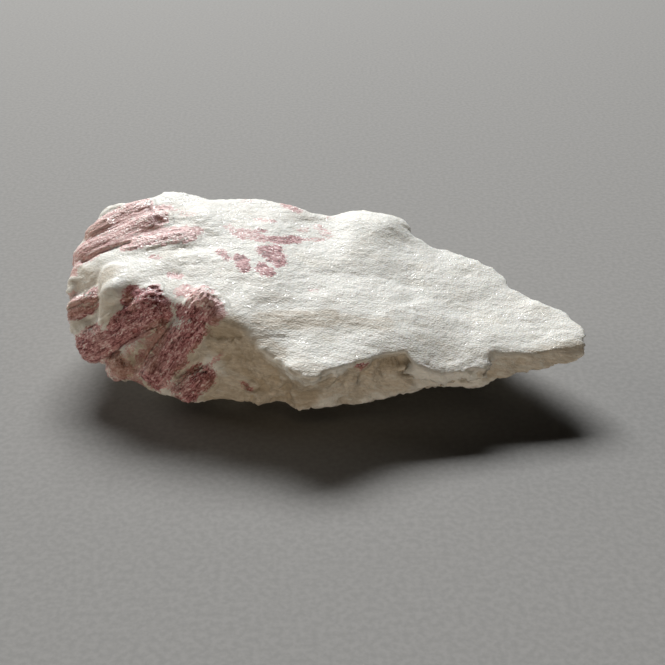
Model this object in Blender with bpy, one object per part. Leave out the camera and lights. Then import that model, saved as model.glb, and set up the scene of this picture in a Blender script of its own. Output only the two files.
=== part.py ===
"""A broken hand specimen: pink tourmaline crystals grown in a wedge of white feldspar and quartz.

Metres, +Z up. +X points at the thin tip, -Y at the broken front where the crystals show.
The origin lies on the flat fracture that the stone rests on.
"""

import math

import bmesh
import bpy
import numpy as np
from mathutils import Vector, geometry, noise

MM = 0.001

# Driving dimensions, in millimetres. The stone is about 120 long, 66 wide and 32 high.
SOCKET_GAP = 0.3  # between a crystal and the matrix around it
VOXEL = 0.8  # spacing of the points that the roughness moves
SHELL_TRIANGLES = 5600  # before the sockets are cut
MATRIX_TRIANGLES = 6200  # with the sockets, their slivers gone

# The outside is set out as it looks from one place, in front of the stone and above it. A place
# is given in steps across and down a square frame, and by its height over the resting face.
SIGHT_ANGLE = math.radians(30)  # how steeply the line of sight slopes down
SIGHT_DISTANCE = 253.0  # from the eye to the middle of the frame
SIGHT_MIDDLE = Vector((12.0, -10.0, 12.0))  # what the middle of the frame shows
FRAME_WIDTH = 151.8  # how much of the world the frame is wide, at its middle
FRAME_STEPS = 665  # the steps across the frame, and down it
AHEAD = Vector((0.0, math.cos(SIGHT_ANGLE), -math.sin(SIGHT_ANGLE)))
UPWARD = Vector((0.0, math.sin(SIGHT_ANGLE), math.cos(SIGHT_ANGLE)))

# The rough surface, in millimetres. A pair of sizes is along the grain and across it.
GRAIN = Vector((1.0, -0.12, -0.13))  # the direction of the white grain
LUMP_HEIGHT = 0.5
LUMP_SIZE = 11.0
SMALL_LUMP_SIZE = 5.0
LEDGE_HEIGHT = 0.25
LEDGE_STEP = 5.5  # from one small ledge of the grain to the next
LEDGE_FACE = 0.25  # the share of that step that the ledge's steep face takes
LEDGE_WANDER = 3.5
LEDGE_WANDER_SIZE = (26.0, 14.0)
LEDGE_PATCH_SIZE = (17.0, 8.0)  # ledges show in patches
PIT_DEPTH = 1.0
PIT_SIZE = (5.0, 2.6)
PIT_THRESHOLD = 0.25  # only the strongest noise makes a pit
SMOOTH_FOOT = 0.3  # no roughness up to this height
FOOT_FADE = 2.5  # and all of it this much higher

# Each crystal: where its axis starts and ends, as sighted, its radius at each end in
# millimetres, and its turn about the axis in degrees.
CRYSTALS = {
    "crystal_front_upper": ((166, 304, 21), (84, 352, 8.5), 4.9, 3.6, 10),
    "crystal_front_lower": ((216, 298, 23), (151, 382, 6), 4.7, 3.4, 35),
    "crystal_foot": ((208, 371, 9.5), (179, 396, 4), 2.6, 2.4, 0),
    "crystal_left_stub": ((100, 299, 19.5), (69, 313, 15.5), 2.5, 2.3, 20),
    "crystal_broken_stub": ((127, 361, 10), (113, 373, 6), 2.5, 2.6, 50),
    "crystal_rear_outer": ((151, 207, 29.5), (87, 239, 24), 3.1, 2.9, 15),
    "crystal_rear_middle": ((168, 219, 29), (75, 261, 21.5), 3.2, 3.0, 40),
    "crystal_rear_inner": ((195, 238, 27.5), (124, 251, 25.5), 2.5, 2.2, 5),
}
RIBS = 14  # the grooves and ribs round a crystal, together
RIB_SHARE = 0.045  # how far ribs stand out and grooves lie in, as a share of the radius
SIDES = 3  # tourmaline grows with three broad sides
SIDE_SHARE = 0.05
WEAR_SHARE = 0.08
STATIONS = 8  # cross-sections along a crystal
END_SHARE = 0.86  # the broken ends are this much narrower
END_SETBACK = 0.35
END_CHIP = 0.5
END_DOME = 0.45
# A flat face moves out less than the corners that carry it, and least in a groove.
SWELL_RIB = 1.1
SWELL_GROOVE = 1.25

MATRIX_COLOUR = (0.86, 0.84, 0.79)
MATRIX_ROUGHNESS = 0.62
CRYSTAL_COLOUR = (0.62, 0.27, 0.36)
CRYSTAL_ROUGHNESS = 0.38

OUTLINE = [  # the widest line round the stone, clockwise from the rear left corner, as sighted
    (96, 216, 27.5), (98, 208, 28.5), (104, 203, 29.5), (143, 195, 31), (165, 190, 32),
    (183, 190, 32), (209, 197, 31), (257, 197, 30), (285, 201, 29.5), (311, 212, 28),
    (330, 215, 27), (350, 209, 27.5), (361, 209, 27.5), (383, 212, 27), (403, 218, 26),
    (411, 224, 25), (415, 233, 24), (430, 243, 22.5), (455, 249, 21.5), (490, 265, 19.5),
    (510, 279, 18.5), (512, 287, 18), (541, 302, 17), (567, 311, 16), (589, 332, 15),
    (585, 343, 14), (584, 357, 12), (570, 368, 10.5), (530, 373, 9.5), (508, 381, 8.5),
    (495, 383, 8), (488, 388, 7), (430, 390, 6.5), (400, 396, 5.5), (372, 402, 4.5),
    (350, 407, 3.5), (297, 410, 3), (282, 403, 3.5), (258, 405, 3), (245, 401, 4),
    (222, 400, 4), (205, 404, 3), (165, 398, 4), (143, 388, 5), (130, 382, 5.5),
    (112, 374, 6), (95, 360, 8), (77, 345, 10.5), (66, 325, 14), (64, 315, 15.5),
    (68, 300, 17.5), (65, 292, 18.5), (70, 274, 20.5), (68, 254, 22.5), (80, 241, 24),
    (88, 223, 26.5),
]  # fmt: skip

RIDGES = {  # edges, grooves and steps on the top and the front, as sighted
    "table_rear": [
        (200, 237, 28), (170, 238, 28), (145, 239, 27), (128, 242, 26.5), (112, 249, 26),
        (98, 260, 25.5),
    ],
    "table_left": [
        (98, 260, 25.5), (108, 266, 25), (117, 279, 24.5), (127, 286, 24.5), (140, 284, 24.5),
        (152, 289, 24), (161, 299, 23), (170, 308, 22),
    ],
    "table_front": [
        (170, 308, 22), (183, 309, 22.3), (192, 303, 23), (205, 310, 22.7), (214, 322, 22),
        (232, 325, 22), (246, 330, 21.3), (254, 340, 20), (261, 353, 18.5), (275, 359, 17.8),
    ],
    "ledge_front": [
        (275, 359, 17.8), (290, 370, 17), (303, 379, 16.3), (312, 381, 16), (325, 376, 16.3),
        (350, 366, 16.5), (375, 359, 16.3), (395, 355, 16), (411, 350, 16),
    ],
    "tip_front": [
        (411, 350, 16), (424, 357, 14.8), (437, 362, 13.8), (455, 361, 13.6), (468, 358, 13.8),
        (480, 357, 13.8), (490, 350, 14.3), (512, 353, 13.8), (530, 354, 13.5), (545, 351, 13.7),
        (557, 348, 13.9), (565, 344, 14.2), (575, 342, 14.2), (583, 346, 13.6),
    ],
    "slope_break": [
        (232, 325, 22), (250, 322, 22), (275, 325, 20.8), (305, 324, 20.4), (322, 330, 19.6),
        (345, 328, 19.3), (370, 328, 18.8), (395, 332, 18), (408, 340, 17), (411, 350, 16),
    ],
    "ledge_valley": [(305, 324, 20.4), (292, 338, 18.6), (284, 350, 17.9), (275, 359, 17.8)],
    "ledge_side": [(322, 330, 19.6), (302, 341, 19), (295, 350, 18.4), (290, 370, 17)],
    "under_ledge": [
        (262, 359, 15.8), (283, 369, 14), (303, 385, 12), (325, 382, 12), (350, 373, 12.8),
        (375, 366, 13), (395, 362, 12.8), (408, 359, 13),
    ],
    "nose_rim": [
        (108, 266, 25), (99, 275, 23), (97, 292, 20.5), (95, 312, 17), (100, 326, 15),
        (112, 331, 14), (121, 323, 15.5), (125, 304, 19), (123, 289, 22.5), (117, 279, 24.5),
    ],
    "nose_crest": [
        (108, 266, 25), (109, 280, 25), (109, 296, 22.5), (108, 312, 19.5), (110, 323, 17),
    ],
    "above_upper_crystal": [(127, 290, 23), (122, 322, 16), (104, 332, 14.5), (84, 336, 12.5)],
    "below_upper_crystal": [
        (161, 301, 22), (165, 322, 18), (150, 328, 17), (135, 338, 15), (118, 351, 12),
        (107, 362, 9),
    ],
    "between_crystals": [
        (160, 326, 18), (148, 341, 15), (138, 354, 12.5), (130, 366, 9.5), (126, 376, 7),
    ],
    "above_lower_crystal": [
        (183, 312, 21), (170, 324, 18.5), (155, 342, 14.5), (147, 358, 11), (143, 374, 7.5),
    ],
    "below_lower_crystal": [
        (214, 325, 21), (205, 338, 17), (195, 352, 14), (180, 367, 10.5), (166, 380, 7.5),
        (152, 388, 5.5),
    ],
    "rubble_foot": [
        (408, 372, 10.5), (410, 383, 8.5), (430, 385, 7.5), (450, 381, 8), (468, 377, 9),
        (480, 382, 8), (493, 381, 8),
    ],
    "crack": [(402, 369, 11.5), (415, 372, 10.5), (430, 368, 11)],
    "block_left": [(480, 357, 13.8), (471, 367, 11), (478, 378, 9)],
    "block_crest": [(490, 350, 14.3), (486, 360, 13.2), (485, 370, 11.5)],
    "block_right": [(512, 353, 13.8), (504, 361, 12.2), (495, 367, 11), (493, 381, 8)],
}  # fmt: skip

SLOPES = {  # single places that give the faces between those lines their height, as sighted
    "rear_left": [
        (112, 213, 28.5), (132, 210, 29.5), (152, 210, 30), (175, 208, 30.5), (110, 225, 27),
        (130, 224, 28), (150, 222, 28.5), (172, 224, 29), (100, 240, 25), (120, 238, 26),
        (84, 248, 23.5), (80, 262, 22), (92, 256, 24),
    ],
    "left_end": [
        (85, 272, 21.5), (80, 284, 20), (91, 291, 19.5), (82, 305, 17.5), (93, 315, 16),
        (84, 325, 14.5),
    ],
    "table": [
        (125, 262, 26), (150, 262, 26), (180, 262, 26.5), (180, 285, 24.5), (205, 285, 24.5),
        (220, 300, 23.5),
    ],
    "top": [
        (200, 215, 30.5), (235, 215, 29.5), (270, 213, 29), (225, 240, 28), (260, 240, 27.5),
        (300, 235, 26.5), (330, 230, 26.5), (360, 224, 27), (388, 228, 26), (225, 268, 26),
        (260, 270, 25.5), (300, 268, 24.5), (340, 262, 24), (375, 240, 25), (380, 262, 23),
        (408, 245, 23), (255, 300, 23.3), (300, 300, 22.4), (345, 300, 21.5), (390, 300, 20.3),
        (420, 275, 20.8), (420, 310, 18.6),
    ],
    "tip": [
        (440, 335, 16.3), (460, 285, 18.8), (462, 320, 16.8), (470, 345, 14.9), (495, 300, 17.2),
        (500, 335, 15.3), (530, 325, 15.5), (550, 325, 15.5), (570, 328, 15.2),
    ],
    "front": [
        (235, 352, 15), (215, 355, 14), (245, 375, 10), (220, 380, 8.5), (195, 385, 7),
        (200, 370, 10), (275, 385, 8.5), (255, 392, 6.5), (300, 395, 7.5), (330, 393, 7.5),
        (355, 385, 8.5), (385, 378, 9), (115, 365, 8.5), (135, 376, 7), (150, 375, 8),
    ],
    "rubble": [
        (425, 377, 9), (440, 371, 10.5), (455, 369, 10.5), (463, 375, 9.5), (446, 377, 9.5),
    ],
    "tip_foot": [(520, 366, 10.5), (550, 360, 11.5), (572, 357, 12)],
}  # fmt: skip

# The hidden side, in millimetres. The sole lies a little low, so that it can be cut level.
SOLE = [
    (26, -4, -0.8), (22, 8, -0.8), (8, 13, -0.8), (-8, 14, -0.8), (-22, 10, -0.8), (-28, 0, -0.8),
    (-24, -8, -0.8), (-10, -14, -0.8), (6, -13, -0.8), (19, -11, -0.8), (26, -4, -0.8),
]  # fmt: skip

BACK_AND_UNDERSIDE = [
    (-47.5, 19, 17), (-43, 26.5, 14), (-34, 30, 11), (-22, 30, 10), (-8, 29, 9), (4, 28, 10),
    (18, 29, 12), (30, 26, 12), (38, 19, 10.5), (50, 12, 10.5), (57, 4, 12.5), (62, -2, 13),
    (66, -8, 13), (67.5, -13, 13), (-49, 9, 15), (-46.5, -3, 12), (-42, -10, 6.5), (-36, 20, 8),
    (40, 2, 5.5), (52, -8, 8), (40, -16, 5), (62, -15, 10), (66, -17, 11), (-2, 22, 3.5),
    (20, 20, 5), (-38, 28.5, 20), (-27, 28.5, 23), (-15, 27.5, 17), (-9, 26.5, 23), (3, 27.5, 21),
    (10, 26, 16), (20, 28, 20), (27, 25, 21), (36, 16, 16), (-24, 24, 5), (9, 25, 7), (31, 9, 3.5),
    (46, 9, 13), (-34, 10, 3.5), (-20, -17, 2), (-2, -20, 1.5), (13, -19, 1.8), (-34, -10, 3),
    (31, -14, 3),
]  # fmt: skip


def clear_scene():
    for obj in list(bpy.data.objects):
        bpy.data.objects.remove(obj)


def sighted(across, down, height):
    """Where the line of sight through this place of the frame is at this height."""
    step = FRAME_WIDTH / FRAME_STEPS
    eye = SIGHT_MIDDLE - AHEAD * SIGHT_DISTANCE
    seen = SIGHT_MIDDLE + UPWARD * (FRAME_STEPS / 2 - down) * step
    seen.x += (across - FRAME_STEPS / 2) * step
    line = seen - eye
    return tuple(eye + line * ((height - eye.z) / line.z))


def all_sighted(picks):
    return [sighted(*pick) for pick in picks]


def leaned(place):
    """A place seen flat, with the stone leaned back, so that neither half of its skin folds over."""
    return Vector((place[0], Vector(place).dot(UPWARD)))


def half_skin(outline, points, lines):
    """Triangles between the outline and these points, with an edge along every line."""
    places = list(dict.fromkeys([*outline, *(p for line in lines for p in line), *points]))
    number = {place: k for k, place in enumerate(places)}
    edges = [(number[a], number[b]) for line in lines for a, b in zip(line, line[1:])]
    rim = [number[place] for place in outline]
    flat = [leaned(place) for place in places]
    found = geometry.delaunay_2d_cdt(flat, edges, [rim], 1, 1e-4)
    # a place added where two lines cross takes its height from the nearest given place
    spots = []
    for spot, source in zip(found[0], found[3]):
        if source:
            spots.append(places[source[0]])
        else:
            near = min(range(len(flat)), key=lambda k: (flat[k] - spot).length)
            spots.append(places[near])
    return [[spots[k] for k in face] for face in found[2]]


def shell_mesh():
    """The stone's plain form: its top and front skin closed by its back and underside."""
    outline = all_sighted(OUTLINE)
    ridges = [all_sighted(line) for line in RIDGES.values()]
    slopes = [place for picks in SLOPES.values() for place in all_sighted(picks)]
    faces = half_skin(outline, slopes, ridges) + half_skin(outline, BACK_AND_UNDERSIDE, [SOLE])
    made = bmesh.new()
    corner = {}
    for face in faces:
        for place in face:
            if place not in corner:
                corner[place] = made.verts.new(Vector(place) * MM)
        if len(set(face)) == 3 and not made.faces.get([corner[p] for p in face]):
            made.faces.new([corner[p] for p in face])
    bmesh.ops.recalc_face_normals(made, faces=made.faces)
    mesh = bpy.data.meshes.new("matrix")
    made.to_mesh(mesh)
    made.free()
    return mesh


def work_out_modifiers(obj):
    """Replace the object's mesh with the one that its modifiers make."""
    graph = bpy.context.evaluated_depsgraph_get()
    mesh = bpy.data.meshes.new_from_object(obj.evaluated_get(graph))
    obj.modifiers.clear()
    obj.data = mesh
    mesh.name = obj.name


def thin_out(obj, triangles):
    """Join the least useful edges until about this many triangles are left."""
    obj.data.calc_loop_triangles()
    fewer = obj.modifiers.new("fewer_faces", "DECIMATE")
    fewer.ratio = triangles / len(obj.data.loop_triangles)
    work_out_modifiers(obj)


def clamped(value, low, high):
    return min(max(value, low), high)


def grained(place, sizes, shift):
    """Noise with lumps of this size along the grain and across it."""
    along, across, up = place
    return noise.noise(Vector((along / sizes[0], across / sizes[1], up / sizes[1] + shift)))


def relief(place, normal):
    """How far the rough surface stands out from the plain form here, in millimetres."""
    lump = noise.noise(place / LUMP_SIZE)
    lump += 0.5 * noise.noise((place + Vector((0, 0, 40))) / SMALL_LUMP_SIZE)

    across = place.y - GRAIN.y * place.x
    on_grain = (place.dot(GRAIN), across, place.z)
    wander = LEDGE_WANDER * grained(on_grain, LEDGE_WANDER_SIZE, 0.0)
    phase = ((across + 0.5 * place.z + wander) / LEDGE_STEP) % 1.0
    if phase < LEDGE_FACE:
        ledge = 0.5 - phase * (1.0 - LEDGE_FACE) / LEDGE_FACE
    else:
        ledge = phase - 0.5
    ledge *= clamped(0.5 + 0.8 * grained(on_grain, LEDGE_PATCH_SIZE, 9.0), 0.0, 1.0)
    ledge *= clamped(1.6 * normal.z, 0.25, 1.0)  # weaker on the sides than on top

    pit = max(grained(on_grain, PIT_SIZE, 20.0) - PIT_THRESHOLD, 0.0)
    return LUMP_HEIGHT * lump + LEDGE_HEIGHT * ledge - PIT_DEPTH * pit


def roughen(obj):
    """Lumps, ledges and pits all over, but none where the stone rests."""
    mesh = obj.data
    moved = np.array([v.co for v in mesh.vertices])
    for vert in mesh.vertices:
        place = vert.co / MM
        fade = clamped((place.z - SMOOTH_FOOT) / FOOT_FADE, 0.0, 1.0)
        moved[vert.index] += vert.normal * relief(place, vert.normal) * fade * MM
    mesh.vertices.foreach_set("co", moved.ravel())
    mesh.update()


def cut_level(obj):
    """Cut the stone level where it rests and close the cut."""
    made = bmesh.new()
    made.from_mesh(obj.data)
    # thinning can leave a triangle that hangs on by one edge
    hanging = [f for f in made.faces if sum(len(e.link_faces) == 1 for e in f.edges) > 1]
    bmesh.ops.delete(made, geom=hanging, context="FACES")
    cut = bmesh.ops.bisect_plane(
        made,
        geom=[*made.verts, *made.edges, *made.faces],
        dist=1e-6,
        plane_co=(0, 0, 0),
        plane_no=(0, 0, 1),
        clear_inner=True,
    )
    rim = [e for e in cut["geom_cut"] if isinstance(e, bmesh.types.BMEdge)]
    bmesh.ops.edgeloop_fill(made, edges=rim)
    bmesh.ops.triangulate(made, faces=made.faces)
    bmesh.ops.recalc_face_normals(made, faces=made.faces)
    made.to_mesh(obj.data)
    made.free()


def drop_chips(obj):
    """Keep the largest body and drop the loose chips that the sockets leave."""
    made = bmesh.new()
    made.from_mesh(obj.data)
    left = set(made.verts)
    bodies = []
    while left:
        body = set()
        waiting = [left.pop()]
        while waiting:
            vert = waiting.pop()
            body.add(vert)
            for edge in vert.link_edges:
                other = edge.other_vert(vert)
                if other in left:
                    left.discard(other)
                    waiting.append(other)
        bodies.append(body)
    bodies.sort(key=len)
    for body in bodies[:-1]:
        bmesh.ops.delete(made, geom=list(body), context="VERTS")
    made.to_mesh(obj.data)
    made.free()


def crystal_radius(share, rib, angle, seed, start_radius, end_radius):
    """The radius this share of the way along, on this rib or groove."""
    radius = start_radius * (1 - share) + end_radius * share
    rib_share = RIB_SHARE if rib % 2 else -RIB_SHARE
    radius *= 1.0 + SIDE_SHARE * math.cos(SIDES * angle) + rib_share
    radius *= 1.0 + WEAR_SHARE * noise.noise(Vector((rib * 0.9, share * 4.0, 0.0)) + seed)
    return radius


def crystal_mesh(name, start, end, start_radius, end_radius, turn, swell=0.0):
    """A ribbed prism along its axis, with rough broken ends; swell makes it fatter all round."""
    start, end = Vector(sighted(*start)), Vector(sighted(*end))
    length = (end - start).length
    axis = (end - start) / length
    side = axis.cross(Vector((0.2, 0.3, 1.0))).normalized()
    up = side.cross(axis)
    seed = Vector((start_radius * 7.0, turn, length))
    made = bmesh.new()
    rings = []
    for station in range(STATIONS):
        share = station / (STATIONS - 1)
        # -1 at the first ring, 1 at the last and 0 between
        end_sign = (station == STATIONS - 1) - (station == 0)
        ring = []
        for rib in range(RIBS):
            angle = 2 * math.pi * rib / RIBS + math.radians(turn)
            radius = crystal_radius(share, rib, angle, seed, start_radius, end_radius)
            along = share * length
            if end_sign:
                radius *= END_SHARE
                round_it = Vector((math.cos(angle), math.sin(angle), share))
                along += END_CHIP * noise.noise(round_it + seed) - END_SETBACK * end_sign
            radius += swell * (SWELL_RIB if rib % 2 else SWELL_GROOVE)
            along += swell * end_sign
            out = side * math.cos(angle) + up * math.sin(angle)
            ring.append(made.verts.new((start + axis * along + out * radius) * MM))
        rings.append(ring)
    for low, high in zip(rings, rings[1:]):
        for rib in range(RIBS):
            after = (rib + 1) % RIBS
            made.faces.new((low[rib], low[after], high[after], high[rib]))
    for ring, end_sign in ((rings[0], -1), (rings[-1], 1)):
        middle = sum((vert.co for vert in ring), Vector()) / RIBS
        peak = made.verts.new(middle + axis * end_sign * END_DOME * MM)
        for rib in range(RIBS):
            made.faces.new((ring[rib], ring[(rib + 1) % RIBS], peak))
    bmesh.ops.triangulate(made, faces=made.faces)
    bmesh.ops.recalc_face_normals(made, faces=made.faces)
    mesh = bpy.data.meshes.new(name)
    made.to_mesh(mesh)
    made.free()
    return mesh


def linked(name, mesh):
    obj = bpy.data.objects.new(name, mesh)
    bpy.context.scene.collection.objects.link(obj)
    return obj


def paint(obj, colour, roughness):
    material = bpy.data.materials.new(obj.name)
    material.use_nodes = True
    shader = material.node_tree.nodes["Principled BSDF"]
    shader.inputs["Base Color"].default_value = (*colour, 1.0)
    shader.inputs["Roughness"].default_value = roughness
    shader.inputs["Metallic"].default_value = 0.0
    obj.data.materials.clear()
    obj.data.materials.append(material)


def cut_sockets(stone):
    """Make room in the stone for every crystal, with a gap all round."""
    cutters = []
    for name, shape in CRYSTALS.items():
        socket_name = "socket_" + name
        cutter = linked(socket_name, crystal_mesh(socket_name, *shape, swell=SOCKET_GAP))
        cutter.hide_render = True
        cutter.display_type = "WIRE"
        cutters.append(cutter)
        socket = stone.modifiers.new(socket_name, "BOOLEAN")
        socket.operation = "DIFFERENCE"
        socket.solver = "EXACT"
        socket.object = cutter
    work_out_modifiers(stone)
    for cutter in cutters:
        bpy.data.objects.remove(cutter)
    drop_chips(stone)


def matrix_stone():
    stone = linked("matrix", shell_mesh())
    remesh = stone.modifiers.new("even_points", "REMESH")
    remesh.mode = "VOXEL"
    remesh.voxel_size = VOXEL * MM
    worn = stone.modifiers.new("softer_edges", "SMOOTH")
    worn.factor = 0.5
    worn.iterations = 2
    work_out_modifiers(stone)
    roughen(stone)
    thin_out(stone, SHELL_TRIANGLES)
    cut_sockets(stone)
    thin_out(stone, MATRIX_TRIANGLES)
    cut_level(stone)
    return stone


def main():
    clear_scene()
    paint(matrix_stone(), MATRIX_COLOUR, MATRIX_ROUGHNESS)
    for name, shape in CRYSTALS.items():
        paint(linked(name, crystal_mesh(name, *shape)), CRYSTAL_COLOUR, CRYSTAL_ROUGHNESS)


main()
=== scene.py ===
"""The looks of the tourmaline specimen: its fine rough surface, its minerals, floor and light."""

import math

import bmesh
import bpy
import numpy as np
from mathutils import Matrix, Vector, noise
from mathutils.bvhtree import BVHTree


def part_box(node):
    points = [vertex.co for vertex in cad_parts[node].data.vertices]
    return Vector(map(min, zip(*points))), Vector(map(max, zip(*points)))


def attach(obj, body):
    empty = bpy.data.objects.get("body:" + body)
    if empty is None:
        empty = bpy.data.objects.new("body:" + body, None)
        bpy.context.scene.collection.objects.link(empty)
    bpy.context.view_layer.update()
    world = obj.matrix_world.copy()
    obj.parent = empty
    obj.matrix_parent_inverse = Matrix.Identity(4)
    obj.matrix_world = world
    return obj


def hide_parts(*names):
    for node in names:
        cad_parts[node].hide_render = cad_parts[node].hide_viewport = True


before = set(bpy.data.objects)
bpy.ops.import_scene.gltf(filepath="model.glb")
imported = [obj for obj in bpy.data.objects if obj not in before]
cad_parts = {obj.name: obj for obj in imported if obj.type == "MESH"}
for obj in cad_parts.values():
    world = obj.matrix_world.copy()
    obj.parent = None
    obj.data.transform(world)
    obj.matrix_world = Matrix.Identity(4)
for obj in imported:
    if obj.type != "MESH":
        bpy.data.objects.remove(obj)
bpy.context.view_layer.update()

MM = 0.001

# The camera, and the image that places below are given in: pixels across and down.
IMAGE_PIXELS = 665
VIEW_SLOPE = math.radians(30)
VIEW_AIM = Vector((12.0, -10.0, 12.0)) * MM
VIEW_DISTANCE = 253.0 * MM
LENS = 60.0
SENSOR = 36.0
AHEAD = Vector((0.0, math.cos(VIEW_SLOPE), -math.sin(VIEW_SLOPE)))
UPWARD = Vector((0.0, math.sin(VIEW_SLOPE), math.cos(VIEW_SLOPE)))
EYE = VIEW_AIM - AHEAD * VIEW_DISTANCE

# The fine surface. Lengths are in millimetres, as everywhere below, and shares go from 0 to 1.
VOXEL = 0.47  # the size of its faces
WELD = 0.001  # corners nearer to each other than this are one
FILL = 0.35  # closes the gap round a crystal before the surfaces are made one
CRYSTAL_RIM = 0.5  # how far the pink crystal reaches into the rock round its plain form
CRYSTAL_RIM_WAVE = 0.7  # and how uneven that border is
CRYSTAL_BLEND = 1.6  # the rock nearer to a crystal than this shares its relief
FOOT_START = 0.2  # no fine relief up to this height, so that it rests flat
FOOT_FADE = 2.0  # and less of it for this far above
CHIP_LEAN = 0.9  # how steeply a chip of the broken surface may lean

# How worn it is, as shares of the full wear.
SOFTENED = 2  # how often all edges are worn a little
WORN_TIMES = 130  # how often the full wear is repeated
WORN_REACH = 5.0  # the rock nearer to a crystal than this is worn together with it
WORN_SHARES = {"front": 0.13, "rear": 1.0}  # the crystals in front stand out, the rear ones hardly
TOP_WEAR = 0.25  # the level top
REAR_CALM = 0.55  # how much lower the relief of the rear crystals is

# The white grain: along it, level across it, and up across it.
GRAIN = Vector((1.0, -0.12, -0.13)).normalized()
ACROSS = Vector((0.0, 0.0, 1.0)).cross(GRAIN).normalized()
RISE = GRAIN.cross(ACROSS)

# Where the plain form is pulled out further. Each: the two pixels that it runs between, half its
# width, and the move.
PULLED = {
    "rubble_shelf": ((422, 357), (474, 359), 2.4, (0.0, -3.2, -1.3)),
    "nose_flank": ((121, 276), (121, 296), 1.6, (0.3, -1.3, 0.0)),
}

# Low lumps and dents. Each: two pixels, half the width, and the height, below zero for a dent.
FORMS = {
    "nose_high": ((109, 272), (111, 292), 2.8, 0.9),
    "nose_low": ((111, 296), (107, 316), 2.8, 1.1),
    "left_lump": ((78, 274), (90, 280), 2.8, 0.8),
    "left_edge_lump": ((70, 284), (70, 290), 1.4, 0.5),
    "left_stub_groove": ((70, 306), (92, 303), 0.6, -0.5),
    "white_lump": ((80, 326), (86, 330), 2.3, 1.0),
    "white_lump_groove": ((74, 317), (92, 316), 0.7, -0.6),
    "hollow_beside_nose": ((131, 302), (131, 316), 1.2, -0.4),
    "crevice_high": ((166, 318), (134, 332), 0.8, -1.1),
    "crevice_low": ((134, 332), (108, 354), 0.8, -1.1),
    "wedge_lump": ((141, 346), (150, 334), 1.6, 0.6),
    "wedge_crevice": ((170, 322), (146, 356), 0.6, -0.6),
    "wedge_foot": ((138, 358), (134, 372), 1.3, 0.6),
    "stub_crevice": ((130, 351), (136, 368), 0.6, -0.8),
    "foot_rim": ((146, 385), (196, 397), 1.2, 0.4),
    "foot_crevice": ((178, 374), (206, 362), 0.8, -0.6),
    "rear_crevice": ((88, 240), (125, 221), 0.8, -0.9),
    "rear_second_crevice": ((84, 262), (128, 241), 0.8, -0.6),
    "rear_step": ((149, 211), (159, 221), 0.8, -0.5),
    "rear_knob": ((90, 232), (104, 224), 1.8, 0.6),
    "rear_lip": ((103, 213), (120, 206), 1.3, 0.4),
    "top_dip": ((176, 268), (182, 250), 2.5, -0.4),
    "step_beside_ledge": ((407, 356), (401, 372), 0.8, -0.9),
    "crack": ((406, 372), (432, 371), 0.6, -0.9),
    "crack_right": ((462, 378), (478, 366), 0.7, -0.8),
    "rubble_left": ((412, 365), (428, 366), 1.5, 0.7),
    "rubble_right": ((440, 370), (456, 373), 1.6, 0.7),
    "under_ledge": ((326, 377), (398, 362), 1.2, -0.5),
    "front_rib": ((232, 344), (262, 372), 2.6, 0.5),
}

# Edges of the stone that are rounded. Each: two pixels, half the width, and how much of it is worn.
WORN_EDGES = {
    "slope_front": ((212, 318), (246, 332), 3.6, 0.9),
    "slope_corner": ((246, 332), (262, 348), 2.6, 0.4),
    "nose": ((106, 270), (108, 318), 4.5, 0.8),
    "table_rim": ((120, 284), (176, 304), 2.4, 0.5),
    "left_lumps": ((76, 276), (94, 290), 3.0, 0.4),
    "slope_pit_left": ((266, 335), (290, 334), 3.4, 0.9),
    "slope_pit_right": ((344, 323), (362, 325), 3.0, 0.9),
    "tip_dimple": ((424, 342), (448, 341), 3.0, 0.8),
    "left_stub": ((75, 307), (94, 302), 3.4, 0.6),
    "upper_crystal_end": ((84, 344), (98, 340), 3.0, 0.25),
}

# Where the surface is broken more roughly. Each: two pixels, half the width, and how much more.
ROUGH_ZONES = {
    "front_left": ((220, 352), (262, 380), 5.0, 1.1),
    "front_middle": ((262, 390), (400, 376), 3.5, 1.1),
    "rubble": ((412, 368), (484, 366), 2.8, 2.2),
    "left_lumps": ((72, 284), (92, 290), 3.0, 0.3),
    "wedge": ((158, 330), (136, 362), 2.4, 0.4),
}

# How far a lump, a worn edge and the like reach beyond their line, in half-widths.
PULL_REACH = 1.8
WEAR_REACH = 1.6
ROUGH_REACH = 1.6
FORM_REACH = 1.5

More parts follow.
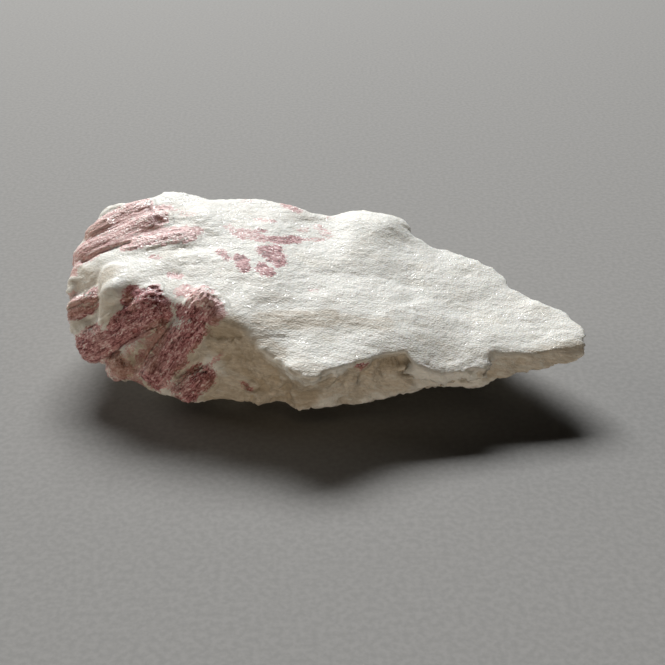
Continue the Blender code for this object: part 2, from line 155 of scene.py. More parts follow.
# Pink tourmaline. Each: two pixels, half the width, how much of the rock there is pink, and how
# dark the pink is.
PINK_ZONES = {
    "big_spot_left": ((262, 249), (266, 254), 1.5, 0.85, 0.9),
    "big_spot": ((274, 249), (278, 262), 2.2, 1.1, 1.0),
    "lower_spot": ((260, 267), (268, 271), 1.6, 1.05, 1.1),
    "left_spot": ((240, 258), (245, 267), 1.6, 0.95, 1.0),
    "faint_left_spot": ((220, 251), (227, 258), 1.2, 0.8, 0.8),
    "band_start": ((227, 227), (240, 232), 1.2, 0.55, 0.3),
    "band_middle": ((240, 233), (263, 238), 2.0, 0.75, 0.5),
    "band_end": ((276, 240), (297, 240), 1.7, 0.95, 0.8),
    "band_tail": ((297, 240), (322, 240), 0.8, 0.65, 0.5),
    "band_dot": ((260, 230), (264, 231), 1.0, 0.8, 1.0),
    "rear_streak": ((256, 219), (273, 221), 0.9, 0.6, 0.4),
    "rear_edge_streak": ((286, 205), (297, 210), 1.4, 0.8, 0.5),
    "orange_streak": ((318, 226), (328, 236), 1.2, 0.6, 0.3),
    "faint_dot": ((299, 230), (304, 230), 1.1, 0.5, 0.3),
    "rear_edge_faint": ((242, 200), (252, 200), 1.2, 0.42, 0.2),
    "rear_dip_faint": ((329, 217), (338, 216), 1.2, 0.45, 0.2),
    "table_dot": ((153, 256), (158, 258), 0.9, 0.75, 0.5),
    "table_spot": ((170, 274), (179, 276), 1.1, 0.8, 0.5),
    "faint_top_dot": ((310, 291), (318, 291), 0.8, 0.45, 0.4),
    "under_ledge_spot": ((359, 367), (366, 366), 1.2, 0.85, 0.9),
    "front_spot": ((245, 385), (250, 388), 1.0, 0.8, 0.9),
    "upper_hollow": ((129, 300), (134, 316), 1.9, 1.2, 0.8),
    "upper_under_rim": ((132, 292), (156, 294), 1.5, 1.2, 0.85),
    "upper_right": ((150, 298), (163, 312), 2.6, 1.2, 0.95),
    "upper_middle": ((150, 312), (118, 330), 2.6, 1.2, 0.9),
    "upper_flank": ((146, 328), (92, 356), 1.7, 1.2, 0.62),
    "upper_end": ((104, 338), (82, 346), 1.9, 1.2, 0.7),
    "lower_top": ((184, 290), (204, 298), 1.9, 1.1, 0.22),
    "lower_corner": ((207, 300), (219, 312), 1.8, 1.1, 0.35),
    "lower_dark": ((210, 318), (182, 312), 1.9, 1.2, 1.0),
    "lower_middle": ((196, 328), (176, 352), 2.7, 1.2, 0.95),
    "lower_left": ((172, 334), (152, 370), 2.0, 1.2, 0.7),
    "lower_end": ((176, 360), (152, 379), 2.4, 1.2, 0.85),
    "foot_middle": ((209, 374), (190, 392), 2.0, 1.1, 0.9),
    "foot_faint": ((168, 384), (182, 388), 1.3, 0.65, 0.45),
    "foot_streak": ((209, 366), (221, 354), 0.7, 0.6, 0.4),
    "foot_rim": ((130, 380), (142, 383), 1.1, 0.8, 0.7),
    "wedge_left": ((146, 338), (128, 350), 1.4, 0.55, 0.4),
    "wedge_right": ((162, 330), (142, 358), 1.6, 0.8, 0.6),
    "wedge_low": ((142, 358), (136, 376), 1.6, 0.7, 0.6),
    "stub": ((112, 362), (122, 372), 2.2, 0.95, 0.45),
    "left_streak_high": ((76, 301), (94, 300), 1.0, 0.9, 0.55),
    "left_streak_low": ((67, 314), (90, 310), 1.2, 1.0, 0.75),
    "left_side": ((72, 299), (70, 312), 2.0, 0.6, 0.3),
    "rear_outer": ((96, 230), (134, 212), 3.2, 1.1, 0.12),
    "rear_top": ((132, 210), (168, 208), 1.7, 0.85, 0.2),
    "rear_top_faint": ((168, 210), (192, 214), 1.3, 0.42, 0.1),
    "rear_fold": ((152, 214), (160, 221), 1.2, 1.1, 0.7),
    "rear_middle": ((152, 222), (80, 256), 3.4, 1.1, 0.1),
    "rear_sparkle": ((148, 233), (118, 236), 1.5, 1.0, 0.3),
    "rear_sparkle_low": ((116, 240), (98, 252), 1.5, 1.0, 0.42),
    "rear_inner": ((156, 233), (196, 232), 1.9, 0.95, 0.2),
    "rear_end": ((70, 260), (74, 274), 2.2, 0.85, 0.25),
}

# Beige and brown stains, in the white rock and in the pink alike. On the faces that turn away from the
# lamps, and on the rear of the top, which leans toward them, they are partly painted shade. Each: two
# pixels, half the width, and how stained it is.
STAIN_AND_SHADE_ZONES = {
    # partly stains, partly painted shade on the faces turned from the lamps: the front, under the ledge
    # and the tip's face
    "front_upper": ((226, 338), (262, 372), 6.0, 0.9),
    "front_lower": ((222, 392), (300, 396), 5.0, 0.8),
    "front_right": ((310, 390), (400, 378), 4.0, 0.7),
    "under_ledge": ((326, 382), (398, 362), 2.6, 0.85),
    "tip_face": ((505, 368), (580, 352), 3.4, 0.65),
    "wedge": ((160, 326), (134, 360), 2.4, 0.75),
    "below_lower_crystal": ((200, 350), (182, 374), 2.2, 0.75),
    "wedge_brown": ((160, 332), (150, 352), 1.4, 0.8),
    "lower_left": ((168, 328), (150, 366), 1.5, 0.7),
    "stub": ((112, 358), (124, 370), 2.4, 1.0),
    "upper_corner": ((128, 296), (132, 308), 1.3, 0.7),
    "foot_left": ((124, 378), (150, 388), 2.0, 0.6),
    "left_lumps": ((74, 276), (92, 290), 3.0, 0.55),
    "left_streaks": ((70, 308), (92, 304), 2.4, 0.7),
    "nose": ((110, 274), (110, 316), 3.0, 0.6),
    "rear_knob": ((88, 234), (106, 222), 1.7, 0.8),
    "rear_low": ((86, 252), (100, 246), 2.0, 0.35),
    "rear_rim": ((108, 208), (126, 206), 1.4, 0.4),
    "slope": ((262, 320), (330, 318), 3.0, 0.68),
    "slope_right": ((345, 320), (385, 323), 2.6, 0.6),
    "top_left": ((253, 296), (288, 298), 2.2, 0.4),
    # painted shade on the rear of the top, which leans toward the lamp
    "rear_top": ((180, 208), (300, 212), 5.0, 0.35),
    "top_middle": ((326, 303), (334, 304), 1.6, 0.35),
    "ledge_slope": ((262, 338), (278, 352), 2.2, 0.6),
    "ledge_corner": ((300, 362), (318, 370), 2.2, 0.5),
    "tip_dot": ((452, 306), (464, 309), 1.4, 0.35),
    "tip_dot_right": ((482, 312), (490, 312), 1.1, 0.35),
    "rubble": ((412, 374), (462, 374), 2.6, 0.45),
}

# Pink and stain on the sides that this camera doesn't see. The same, between places on the stone.
HIDDEN_PINK = {
    "back_streak": ((-34, 29, 16), (-18, 29, 19), 2.6, 0.95, 0.5),
    "back_streak_low": ((-26, 29, 12), (-14, 29, 14), 1.6, 0.8, 0.4),
    "back_dot": ((2, 28, 18), (6, 28, 17), 1.6, 0.8, 0.7),
    "underside_streak": ((-38, -4, 6), (-24, 8, 2), 2.6, 0.9, 0.6),
    "left_end": ((-49, 12, 18), (-46, 16, 12), 3.0, 0.9, 0.3),
}
HIDDEN_STAIN = {
    "underside": ((-30, 0, 2), (40, -4, 4), 12.0, 0.8),
    "tip_back": ((62, -2, 12), (68, -12, 12), 3.0, 0.7),
}

BACK_SHADE = 0.95  # how much painted shade the back gets, as it faces the lamp
RIM_SHADE = 0.4  # and the painted shade on the rim of the top where it leans back toward the lamp
ZONE_REACH = 1.35  # how far a zone of colour reaches, in half-widths
ZONE_EDGE = 1.5  # and how sharp its edge is
MIDDLE_DEPTH = 0.4  # how dark the pink is away from all zones


# ---------------------------------------------------------------- where things are


def soup_of(objects):
    """The vertices and polygons of several objects as one list each."""
    places, faces = [], []
    for obj in objects:
        first = len(places)
        places += [v.co.copy() for v in obj.data.vertices]
        faces += [[first + k for k in p.vertices] for p in obj.data.polygons]
    return places, faces


def seen_at(across, down):
    """Where the line of sight through this pixel meets the CAD model, in millimetres."""
    pixel = SENSOR / LENS / IMAGE_PIXELS
    ray = AHEAD + UPWARD * ((IMAGE_PIXELS / 2 - down) * pixel)
    ray.x += (across - IMAGE_PIXELS / 2) * pixel
    spot = cad_surface.ray_cast(EYE, ray.normalized())[0]
    if spot is None:
        raise ValueError(f"the pixel {across}, {down} misses the stone")
    return np.array(spot) / MM


def smooth(share):
    """The share with soft ends: 0 below 0, and 1 above 1."""
    share = np.clip(share, 0.0, 1.0)
    return share * share * (3.0 - 2.0 * share)


def rising(values, low, high):
    """0 below low, 1 above high, and smooth between."""
    return smooth((values - low) / (high - low))


def distance_to(places, start, end):
    """How far each place is from the line between two points."""
    run = end - start
    share = np.clip((places - start) @ run / max(run @ run, 1e-9), 0.0, 1.0)
    return np.linalg.norm(places - start - share[:, None] * run, axis=1)


def nearness(places, start, end, half_width, reach):
    """1 near the line between two points, and 0 beyond this reach in half-widths."""
    return smooth(reach - distance_to(places, start, end) / half_width)


def sighted(zones):
    """The zones with the places in the image turned into places on the stone."""
    return [(seen_at(*start), seen_at(*end), *rest) for start, end, *rest in zones.values()]


def placed(zones):
    """The zones that are given by places, in the same form."""
    return [(np.array(start), np.array(end), *rest) for start, end, *rest in zones.values()]


def amount_of(places, zones, wobble):
    """How much of any of these zones there is at each place: full inside, fading to 0 outside."""
    amount = np.zeros(len(places))
    for start, end, half_width, strength, *_ in zones:
        inside = ZONE_EDGE * (ZONE_REACH - distance_to(places, start, end) / half_width + wobble)
        amount = np.maximum(amount, strength * np.clip(inside, 0.0, 1.0))
    return amount


def depth_of(places, zones):
    """The darkness of the pink, mixed from the zones near each place."""
    weights = np.full(len(places), 1e-4)
    depths = weights * MIDDLE_DEPTH
    for start, end, half_width, _, depth in zones:
        weight = np.clip(2.0 - distance_to(places, start, end) / half_width, 0.0, 1.0) ** 2
        weights += weight
        depths += weight * depth
    return depths / weights


# ---------------------------------------------------------------- mesh tools


def finished(made, name):
    """Turn what bmesh has made into a mesh."""
    mesh = bpy.data.meshes.new(name)
    made.to_mesh(mesh)
    made.free()
    return mesh


def new_piece(name, mesh):
    obj = bpy.data.objects.new(name, mesh)
    bpy.context.scene.collection.objects.link(obj)
    return obj


def apply_modifiers(obj):
    graph = bpy.context.evaluated_depsgraph_get()
    mesh = bpy.data.meshes.new_from_object(obj.evaluated_get(graph))
    obj.modifiers.clear()
    old = obj.data
    obj.data = mesh
    bpy.data.meshes.remove(old)


def places_of(mesh):
    flat = np.zeros(len(mesh.vertices) * 3, np.float32)
    mesh.vertices.foreach_get("co", flat)
    return flat.reshape(-1, 3).astype(float)


def normals_of(mesh):
    flat = np.zeros(len(mesh.vertices) * 3, np.float32)
    mesh.vertices.foreach_get("normal", flat)
    return flat.reshape(-1, 3).astype(float)


def set_places(mesh, places):
    mesh.vertices.foreach_set("co", places.astype(np.float32).ravel())
    mesh.update()


def store(mesh, name, values):
    """Keep a number or a vector for each vertex, for the material to read."""
    if values.ndim == 1:
        mesh.attributes.new(name, "FLOAT", "POINT").data.foreach_set("value", values.astype(np.float32))
    else:
        kept = mesh.attributes.new(name, "FLOAT_VECTOR", "POINT")
        kept.data.foreach_set("vector", values.astype(np.float32).ravel())


def welded(mesh):
    """A closed copy of a CAD mesh, whose triangles come without shared corners."""
    joined = bmesh.new()
    joined.from_mesh(mesh)
    bmesh.ops.remove_doubles(joined, verts=joined.verts[:], dist=WELD * MM)
    return finished(joined, mesh.name)


def swollen(mesh, amount):
    """A closed copy of the mesh, moved out along its normals by this much, in millimetres."""
    made = welded(mesh)
    set_places(made, places_of(made) + normals_of(made) * amount * MM)
    return made


def even_faces(obj, voxel):
    """Rebuild the mesh of even small faces."""
    remesh = obj.modifiers.new("even_faces", "REMESH")
    remesh.mode = "VOXEL"
    remesh.voxel_size = voxel * MM
    apply_modifiers(obj)


def soften(obj, times):
    """Wear all edges a little."""
    worn = obj.modifiers.new("worn", "SMOOTH")
    worn.factor = 0.5
    worn.iterations = times
    apply_modifiers(obj)


def wear_down(mesh, amount, times):
    """Wear the surface smooth, each place by its own amount from 0 to 1."""
    ends = np.zeros(len(mesh.edges) * 2, np.int32)
    mesh.edges.foreach_get("vertices", ends)
    first, second = ends.reshape(-1, 2).T
    here, there = np.concatenate([first, second]), np.concatenate([second, first])
    places = places_of(mesh)
    count = np.bincount(here, minlength=len(places))
    for _ in range(times):
        for axis in range(3):
            middle = np.bincount(here, places[there, axis], len(places)) / count
            places[:, axis] += 0.5 * amount * (middle - places[:, axis])
    set_places(mesh, places)


def keep_largest_body(obj):
    """Remove the loose crumbs that the other steps can leave."""
    made = bmesh.new()
    made.from_mesh(obj.data)
    left = set(made.verts)
    bodies = []
    while left:
        body = set()
        waiting = [left.pop()]
        while waiting:
            vert = waiting.pop()
            body.add(vert)
            for edge in vert.link_edges:
                other = edge.other_vert(vert)
                if other in left:
                    left.discard(other)
                    waiting.append(other)
        bodies.append(body)
    bodies.sort(key=len)
    for body in bodies[:-1]:
        bmesh.ops.delete(made, geom=list(body), context="VERTS")
    made.to_mesh(obj.data)
    made.free()


def combined(obj, other, operation):
    """A Boolean of two closed meshes, worked out on the first."""
    made = obj.modifiers.new(operation.lower(), "BOOLEAN")
    made.operation = operation
    made.solver = "MANIFOLD"
    made.object = other
    apply_modifiers(obj)


def noise_at(places, sizes, shift=0.0):
    """Smooth noise from about -1 to 1, with lumps of these sizes along each axis."""
    scaled = places / np.array(sizes) + shift
    return np.array([noise.noise(Vector(p)) for p in scaled])


def chips_at(places, sizes, shift):
    """Flat chips with steps between them, each with a height and a slope of its own."""
    heights = np.empty(len(places))
    for k, place in enumerate(places / np.array(sizes) + shift):
        spot = Vector(place)
        centre = noise.voronoi(spot)[1][0]
        chance = noise.cell_vector(centre * 9.7)
        lean = noise.cell_vector(centre * 5.3) - Vector((0.5, 0.5, 0.5))
        heights[k] = chance[0] - 0.5 + CHIP_LEAN * (spot - centre).dot(lean) * 2.0
    return heights


# ---------------------------------------------------------------- the fine surface


def white_relief(places, normals):
    """How far the surface of the white rock stands out, in millimetres."""
    along = places @ np.array([GRAIN, ACROSS, RISE]).T
    bend = 1.5 * noise_at(along, (11.0, 6.0, 6.0))
    sway = 0.5 * noise_at(along, (3.5, 2.2, 2.2), 60.0)
    bent = along + np.stack([sway, bend + sway, 0.7 * bend - sway], axis=1)

    plates = chips_at(bent, (9.0, 4.0, 4.0), 1.0)
    flakes = chips_at(bent, (3.8, 1.5, 1.5), 5.0)
    crumbs = chips_at(bent, (1.6, 1.1, 1.1), 9.0)
    lumps = noise_at(places, (7.0, 7.0, 7.0), 3.0) + 0.5 * noise_at(places, (3.0, 3.0, 3.0), 8.0)
    grains = noise_at(places, (1.2, 1.2, 1.2), 15.0)
    steep = 1.0 - rising(normals[:, 2], -0.1, 0.7)
    return (
        (0.05 + 0.35 * steep) * plates
        + (0.05 + 0.26 * steep) * flakes
        + (0.04 + 0.18 * steep) * crumbs
        + (0.06 + 0.24 * steep) * lumps
        + 0.05 * grains
    )


def pink_relief(own, places):
    """The same for a crystal: ribs and splinters along it, with broken sugary grains."""
    splinters = chips_at(own, (5.5, 1.1, 1.1), 2.0)
    ribs = 0.5 - np.abs(noise_at(own, (9.0, 1.5, 1.5), 7.0)) * 1.6
    crumbs = chips_at(places, (1.3, 1.3, 1.3), 4.0)
    breaks = chips_at(own, (3.0, 3.0, 3.0), 11.0)
    return 0.34 * splinters + 0.26 * ribs + 0.14 * crumbs + 0.14 * breaks


def own_axes(places):
    """A crystal's middle, and its three own directions with its length first."""
    middle = places.mean(axis=0)
    return middle, np.linalg.svd(places - middle, full_matrices=False)[2]


def nearest_crystal(places):
    """For each place: how far outside the nearest crystal it is, where along it, and its wear."""
    gaps = np.full(len(places), 1e3)
    own = np.zeros((len(places), 3))
    wear = np.zeros(len(places))
    for crystal in crystal_nodes:
        low, high = (np.array(corner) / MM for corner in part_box(crystal.name))
        close_by = (places > low - WORN_REACH) & (places < high + WORN_REACH)
        near = np.flatnonzero(close_by.all(axis=1))
        share = WORN_SHARES["rear" if "rear" in crystal.name else "front"]
        middle, axes = own_axes(places_of(crystal.data) / MM)
        surface = BVHTree.FromPolygons(*soup_of([crystal]))
        for k in near:
            place = Vector(places[k]) * MM
            spot, normal, _, gap = surface.find_nearest(place)
            gap = math.copysign(gap, (place - spot).dot(normal)) / MM
            if gap < gaps[k]:
                gaps[k] = gap
                own[k] = axes @ (places[k] - middle)
                wear[k] = share
    return gaps, own, wear


def fused_stone():
    """The whole stone as one closed fine surface, with its crystals grown into it."""
    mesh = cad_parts["matrix"].data.copy()
    stone = new_piece("feldspar_matrix", mesh)
    joined = bmesh.new()
    joined.from_mesh(mesh)
    for crystal in crystal_nodes:
        filler = swollen(crystal.data, FILL)
        joined.from_mesh(filler)
        bpy.data.meshes.remove(filler)
    joined.to_mesh(mesh)
    joined.free()
    even_faces(stone, VOXEL)
    keep_largest_body(stone)
    soften(stone, SOFTENED)

    places = places_of(stone.data) / MM
    for start, end, half_width, move in sighted(PULLED):
        share = nearness(places, start, end, half_width, PULL_REACH)
        places += share[:, None] * np.array(move)
    set_places(stone.data, places * MM)
    gaps, own, shares = nearest_crystal(places)
    wear = shares * smooth(1.0 - gaps / WORN_REACH)
    wear = np.maximum(wear, TOP_WEAR * rising(normals_of(stone.data)[:, 2], 0.8, 0.95))
    for start, end, half_width, share in sighted(WORN_EDGES):
        wear = np.maximum(wear, share * nearness(places, start, end, half_width, WEAR_REACH))
    wear_down(stone.data, wear, WORN_TIMES)

    places = places_of(stone.data) / MM
    normals = normals_of(stone.data)
    pinkness = smooth(1.0 - (gaps - 0.2) / CRYSTAL_BLEND)
    relief = white_relief(places, normals) * (1.0 - pinkness)
    close = pinkness > 0.0
    crisp = pinkness[close] * (1.0 - REAR_CALM * shares[close])
    relief[close] += pink_relief(own[close], places[close]) * crisp
    for start, end, half_width, more in sighted(ROUGH_ZONES):
        relief *= 1.0 + more * nearness(places, start, end, half_width, ROUGH_REACH)
    hollow = -relief * (1.0 - REAR_CALM * shares)  # painted shade in the hollows of the relief, but not on the level top
    store(stone.data, "hollow", hollow * (1.0 - rising(normals[:, 2], 0.35, 0.85)))
    for start, end, half_width, height in sighted(FORMS):
        relief += height * nearness(places, start, end, half_width, FORM_REACH)
    relief *= smooth((places[:, 2] - FOOT_START) / FOOT_FADE)
    places += normals * relief[:, None]
    places[:, 2] = np.maximum(places[:, 2], 0.0)
    set_places(stone.data, places * MM)
    return stone


def part_crystal(stone, crystal):
    """Take one crystal out of the stone as a piece of its own, along an uneven border."""
    cutter = new_piece("cutter_" + crystal.name, swollen(crystal.data, CRYSTAL_RIM))
    even_faces(cutter, 2.0 * VOXEL)
    places = places_of(cutter.data) / MM
    wave = CRYSTAL_RIM_WAVE * noise_at(places, (2.6, 2.6, 2.6), 33.0)
    places += normals_of(cutter.data) * wave[:, None]
    set_places(cutter.data, places * MM)
    piece = new_piece("fine_" + crystal.name, stone.data.copy())
    combined(piece, cutter, "INTERSECT")
    combined(stone, cutter, "DIFFERENCE")
    keep_largest_body(piece)
    bpy.data.objects.remove(cutter)
    return piece


def paint(mesh, in_crystal):
    """Store where the pink is, where the stains and the painted shade on the back and the top's rim
    are, how deep the pink is, and the way of the grain.
    """
    places = places_of(mesh) / MM
    gaps, own, _ = nearest_crystal(places)
    pink_zones = sighted(PINK_ZONES) + placed(HIDDEN_PINK)
    wobble = 0.35 * noise_at(places, (2.4, 2.4, 2.4), 50.0)
    wobble += 0.35 * noise_at(places, (1.2, 1.2, 1.2), 55.0)
    pink = amount_of(places, pink_zones, wobble)
    if in_crystal:
        pink = np.maximum(pink, 0.75 + 0.6 * noise_at(places, (2.6, 2.6, 2.6), 21.0))
    else:
        pink = np.maximum(pink, np.clip(1.3 - gaps / 0.9 + 1.5 * wobble, 0.0, 1.0))
    broad = 0.3 * noise_at(places, (6.0, 6.0, 6.0), 70.0)
    stain = amount_of(places, sighted(STAIN_AND_SHADE_ZONES) + placed(HIDDEN_STAIN), broad)
    normals = normals_of(mesh)
    lean = normals[:, 1] - 0.5 * normals[:, 2]  # above 0 where it faces back more than up
    # painted shade on the back and on the top's rim that leans back, both of which face the lamp
    turned_back = rising(lean, 0.1, 0.5) * (BACK_SHADE + broad)
    turned_back = np.maximum(turned_back, RIM_SHADE * rising(lean, -0.4, -0.1))
    store(mesh, "pink", pink)
    store(mesh, "stain", np.maximum(stain, turned_back))
    uneven = 0.25 * noise_at(places, (3.2, 3.2, 3.2), 90.0)
    store(mesh, "depth", depth_of(places, pink_zones) + uneven)
    flow = places @ np.array([GRAIN, ACROSS, RISE]).T
    store(mesh, "flow", np.where(gaps[:, None] < CRYSTAL_BLEND, own, flow))


# ---------------------------------------------------------------- materials


class Recipe:
    """A material made of nodes. All methods but fill add a node and return its output."""

    def __init__(self, name):
        self.material = bpy.data.materials.new(name)
        self.material.use_nodes = True
        self.tree = self.material.node_tree
        self.surface = self.tree.nodes["Principled BSDF"]

    def fill(self, node, inputs):
        """Link each of these inputs to the output of another node, or set it to a value."""
        for key, value in inputs.items():
            if isinstance(value, bpy.types.NodeSocket):
                self.tree.links.new(value, node.inputs[key])
            else:
                node.inputs[key].default_value = value

    def node(self, kind, inputs, output=0, **settings):
        made = self.tree.nodes.new(kind)
        for key, value in settings.items():
            setattr(made, key, value)
        self.fill(made, inputs)
        return made.outputs[output]

    def kept(self, name, output="Fac"):
        return self.node("ShaderNodeAttribute", {}, output, attribute_name=name)

    def scaled(self, vector, sizes, shift=0.0):
        """The vector divided by these sizes, in millimetres."""
        return self.node(
            "ShaderNodeVectorMath",
            {0: vector, 1: tuple(1.0 / s for s in sizes), 2: (shift, shift, shift)},
            operation="MULTIPLY_ADD",
        )

    def grainy(self, vector, sizes, shift=0.0, detail=3.0, distortion=0.0):
        spot = self.scaled(vector, sizes, shift)
        inputs = {"Vector": spot, "Scale": 1.0, "Detail": detail, "Distortion": distortion}
        return self.node("ShaderNodeTexNoise", inputs, "Fac")

    def cells(self, vector, sizes, output="Color"):
        spot = self.scaled(vector, sizes)
        return self.node("ShaderNodeTexVoronoi", {"Vector": spot, "Scale": 1.0}, output)

    def math(self, operation, first, second=0.0, third=0.0):
        return self.node("ShaderNodeMath", {0: first, 1: second, 2: third}, operation=operation)

    def between(self, value, low, high):
        """0 below low, 1 above high, smooth between."""
        inputs = {"Value": value, "From Min": low, "From Max": high}
        return self.node("ShaderNodeMapRange", inputs, interpolation_type="SMOOTHSTEP")

    def mixed(self, share, first, second):
        first = (*first, 1.0) if isinstance(first, tuple) else first
        second = (*second, 1.0) if isinstance(second, tuple) else second
        return self.node("ShaderNodeMix", {0: share, 6: first, 7: second}, 2, data_type="RGBA")

    def ramp(self, value, stops):
        made = self.tree.nodes.new("ShaderNodeValToRGB")
        elements = made.color_ramp.elements
        while len(elements) < len(stops):
            elements.new(0.5)
        for element, (position, colour) in zip(elements, stops):
            element.position = position
            element.color = (*colour, 1.0)
        self.tree.links.new(value, made.inputs["Fac"])
        return made.outputs["Color"]


# The colours of the minerals, of the stains on them, and of the painted shade in their hollows and on
# the faces that turn from or toward the lamps.
WHITE = (0.90, 0.905, 0.87)
GREY_WHITE = (0.81, 0.83, 0.79)
CREAM = (0.80, 0.74, 0.62)
# the stain colours, which also carry the painted shade on the back, the front faces and the top's rim
DARK_STAIN_AND_SHADE = (0.45, 0.375, 0.275)
PALE_STAIN_AND_SHADE = (0.64, 0.555, 0.43)
RUST_AND_SHADE = (0.40, 0.24, 0.15)
# painted shade for the hollows of the relief: on the white rock, and on the pink
HOLLOW_SHADE = (0.42, 0.35, 0.25)
PINK_HOLLOW_SHADE = (0.14, 0.05, 0.045)
CELLS = (0.5, 0.34, 0.34)  # the size of a crystal grain

# The shades of the pink grains, from the darkest to the palest.
DEEP_GRAINS = [
    (0.0, (0.06, 0.012, 0.014)),
    (0.25, (0.20, 0.050, 0.056)),
    (0.5, (0.46, 0.185, 0.20)),
    (0.75, (0.70, 0.39, 0.41)),
    (1.0, (0.93, 0.84, 0.83)),
]
PALE_GRAINS = [
    (0.0, (0.50, 0.22, 0.225)),
    (0.3, (0.75, 0.45, 0.445)),
    (0.6, (0.87, 0.64, 0.62)),
    (1.0, (0.93, 0.85, 0.82)),
]


class Mineral(Recipe):
    """White feldspar and pink tourmaline, one or the other where the mesh says so."""

    def __init__(self, name, roughness, sparkle, bump):
        super().__init__(name)
        self.flow = flow = self.kept("flow", "Vector")
        # how sunken the relief is, which sets where painted shade goes
        self.hollow = self.between(self.kept("hollow"), -0.1, 0.45)
        self.streaks = self.grainy(flow, (3.6, 0.5, 0.5), detail=4.0, distortion=0.8)
        self.speckle = self.grainy(flow, (0.55, 0.55, 0.55), 40.0, detail=2.0)
        self.fibres = self.grainy(flow, (1.7, 0.4, 0.4), 80.0, detail=3.0, distortion=0.6)
        chances = self.cells(flow, CELLS)  # a random colour for each grain, of which the red is used
        self.chance = self.node("ShaderNodeSeparateColor", {"Color": chances})
        self.stain = self.streaky_stain_and_shade()

        inputs = {
            "Base Color": self.mixed(self.is_pink(), self.white_rock(), self.tourmaline()),
            "Roughness": self.roughness(roughness, sparkle),
            "Normal": self.bumps(bump),
            "Specular IOR Level": 0.3,
            "IOR": 1.55,
            "Subsurface Weight": 0.15,
            "Subsurface Radius": (1.0, 0.85, 0.7),
            "Subsurface Scale": 0.35 * MM,
        }
        self.fill(self.surface, inputs)

    # stains together with painted shade, broken into streaks
    def streaky_stain_and_shade(self):
        here = self.kept("stain")
        streaky = self.math("MULTIPLY_ADD", self.math("SUBTRACT", self.streaks, 0.5), 1.6, here)
        return self.math("MULTIPLY", here, self.between(streaky, 0.05, 0.9))

    def white_rock(self):
        """Greyer in streaks and specks, creamier in clouds, brown where stained or given painted shade,
        and darker in the hollows by painted shade.
        """
        clouds = self.grainy(self.flow, (9.0, 5.0, 5.0), 20.0)
        white = self.mixed(self.between(self.streaks, 0.56, 0.36), WHITE, GREY_WHITE)
        white = self.mixed(self.between(self.speckle, 0.46, 0.3), white, GREY_WHITE)
        white = self.mixed(self.math("MULTIPLY", self.between(clouds, 0.5, 0.75), 0.3), white, CREAM)
        fibrous = self.mixed(self.between(self.fibres, 0.34, 0.66), DARK_STAIN_AND_SHADE, PALE_STAIN_AND_SHADE)
        white = self.mixed(self.stain, white, fibrous)
        return self.mixed(self.math("MULTIPLY", self.hollow, 0.6), white, HOLLOW_SHADE)

    def tourmaline(self):
        """Crystal grains of many shades, some of them almost white, and darker in the hollows by
        painted shade.
        """
        broad = self.grainy(self.flow, (2.6, 0.9, 0.9), 60.0)
        shade = self.math("MULTIPLY_ADD", broad, 1.0, -1.0)
        shade = self.math("MULTIPLY_ADD", self.fibres, 1.4, shade)
        shade = self.math("MULTIPLY_ADD", self.chance, 0.6, shade)
        depth = self.between(self.kept("depth"), 0.0, 1.0)
        pink = self.mixed(depth, self.ramp(shade, PALE_GRAINS), self.ramp(shade, DEEP_GRAINS))
        # rusty where stained, and browner where painted shade lies
        pink = self.mixed(self.math("MULTIPLY", self.stain, 0.5), pink, RUST_AND_SHADE)
        return self.mixed(self.math("MULTIPLY", self.hollow, 0.5), pink, PINK_HOLLOW_SHADE)

    def is_pink(self):
        """Where the one mineral ends and the other starts, along a border made of grains."""
        edge = self.math("SUBTRACT", self.speckle, 0.5)
        edge = self.math("MULTIPLY_ADD", edge, 1.0, self.kept("pink"))
        edge = self.math("MULTIPLY_ADD", self.math("SUBTRACT", self.chance, 0.5), 0.6, edge)
        return self.between(edge, 0.32, 0.68)

    def roughness(self, middle, sparkle):
        """Uneven, with this share of the grains smooth enough to glint."""
        glint = self.math("GREATER_THAN", self.chance, 1.0 - sparkle)
        uneven = self.math("MULTIPLY_ADD", self.speckle, 0.3, middle - 0.15)
        return self.math("SUBTRACT", uneven, self.math("MULTIPLY", glint, middle - 0.15))

    def bumps(self, strength):
        """The relief that is finer than the mesh: grains, specks, crumbs and streaks."""
        facets = self.cells(self.flow, CELLS, "Distance")
        crumbs = self.grainy(self.flow, (1.5, 0.9, 0.9), 10.0, detail=4.0)
        height = self.math("MULTIPLY_ADD", facets, 0.8, self.math("MULTIPLY", self.streaks, 0.3))
        height = self.math("MULTIPLY_ADD", self.speckle, 0.7, height)
        height = self.math("MULTIPLY_ADD", crumbs, 0.9, height)
        inputs = {"Strength": strength, "Distance": 0.2 * MM, "Height": height}
        return self.node("ShaderNodeBump", inputs, "Normal")


def dress(piece, material, node):
    piece.data.materials.clear()
    piece.data.materials.append(material)
    piece.data.shade_smooth()
    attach(piece, "root")
    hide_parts(node)


# ---------------------------------------------------------------- the studio

# Sizes here are in metres. Each lamp: its place, its size, its power in watts, and its colour.
FLOOR_REACH = 60.0
FLOOR_TONES = ((0.245, 0.245, 0.241), (0.285, 0.283, 0.279))
PAPER_FIBRE = 0.0012
WALL_RADIUS = 5.0
WALL_HEIGHT = 4.0
WALL_TONE = (0.27, 0.27, 0.265, 1.0)
SKY_TONE = (0.95, 0.96, 1.0, 1.0)
SKY_STRENGTH = 0.005
LAMPS = {
    "window": ((-0.9, 6.2, 4.7), (4.4, 2.0), 970.0, (1.0, 0.995, 0.98)),
    "left_fill": ((-3.3, 1.5, 1.1), (1.6, 0.8), 42.0, (1.0, 0.91, 0.80)),
    "front_fill": ((-0.3, -3.0, 0.12), (1.8, 0.22), 23.0, (1.0, 0.83, 0.65)),
}


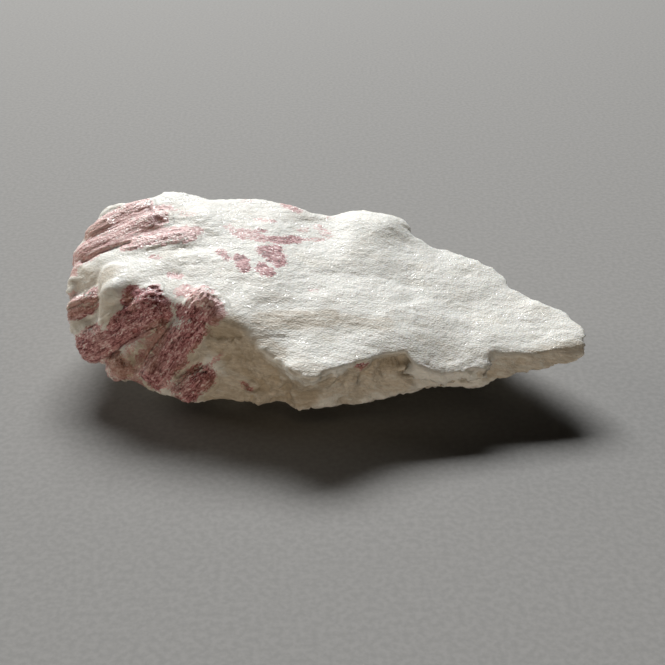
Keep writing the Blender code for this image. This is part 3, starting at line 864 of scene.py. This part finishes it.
def make_floor():
    """A plain sheet of paper, slightly mottled by its fibres."""
    made = bmesh.new()
    bmesh.ops.create_grid(made, x_segments=1, y_segments=1, size=FLOOR_REACH)
    floor = new_piece("floor", finished(made, "floor"))
    recipe = Recipe("floor_paper")
    spot = recipe.node("ShaderNodeTexCoord", {}, "Object")
    fibres = recipe.between(recipe.grainy(spot, [PAPER_FIBRE] * 3, detail=4.0), 0.3, 0.7)
    tone = recipe.mixed(fibres, *FLOOR_TONES)
    recipe.fill(recipe.surface, {"Base Color": tone, "Roughness": 0.85})
    floor.data.materials.append(recipe.material)


def make_backdrop():
    """A plain wall far round the stone, which is seen behind it but gives no light."""
    made = bmesh.new()
    bmesh.ops.create_cone(
        made, segments=96, radius1=WALL_RADIUS, radius2=WALL_RADIUS, depth=2.0 * WALL_HEIGHT
    )
    wall = new_piece("backdrop", finished(made, "backdrop"))
    recipe = Recipe("backdrop_paper")
    inputs = {
        "Base Color": (0.0, 0.0, 0.0, 1.0),
        "Specular IOR Level": 0.0,
        "Emission Color": WALL_TONE,
        "Emission Strength": 1.0,
    }
    recipe.fill(recipe.surface, inputs)
    wall.data.materials.append(recipe.material)
    wall.visible_diffuse = False
    wall.visible_glossy = False
    wall.visible_transmission = False
    wall.visible_shadow = False


def make_light(name, place, size, power, colour):
    """A soft lamp that points at the stone."""
    data = bpy.data.lights.new(name, "AREA")
    data.shape = "RECTANGLE"
    data.size, data.size_y = size
    data.energy = power
    data.color = colour
    light = bpy.data.objects.new(name, data)
    bpy.context.scene.collection.objects.link(light)
    light.location = place
    light.rotation_euler = (-Vector(place)).to_track_quat("-Z", "Y").to_euler()


def make_studio():
    make_floor()
    make_backdrop()
    for name, lamp in LAMPS.items():
        make_light(name, *lamp)
    world = bpy.data.worlds.new("studio")
    bpy.context.scene.world = world
    world.use_nodes = True
    sky = world.node_tree.nodes["Background"]
    sky.inputs["Color"].default_value = SKY_TONE
    sky.inputs["Strength"].default_value = SKY_STRENGTH
    bpy.context.scene.view_settings.view_transform = "Standard"


def make_camera():
    data = bpy.data.cameras.new("camera")
    data.lens = LENS
    data.sensor_width = SENSOR
    camera = bpy.data.objects.new("camera", data)
    bpy.context.scene.collection.objects.link(camera)
    camera.location = EYE
    camera.rotation_euler = AHEAD.to_track_quat("-Z", "Y").to_euler()
    bpy.context.scene.camera = camera


# ---------------------------------------------------------------- all of it

crystal_nodes = [obj for name, obj in sorted(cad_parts.items()) if name.startswith("crystal_")]
cad_surface = BVHTree.FromPolygons(*soup_of(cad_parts.values()))

make_camera()
make_studio()
feldspar = Mineral("feldspar", roughness=0.55, sparkle=0.08, bump=0.42).material
tourmaline = Mineral("tourmaline", roughness=0.42, sparkle=0.16, bump=0.8).material

matrix = fused_stone()
for crystal in crystal_nodes:
    piece = part_crystal(matrix, crystal)
    paint(piece.data, in_crystal=True)
    dress(piece, tourmaline, crystal.name)
keep_largest_body(matrix)
paint(matrix.data, in_crystal=False)
dress(matrix, feldspar, "matrix")
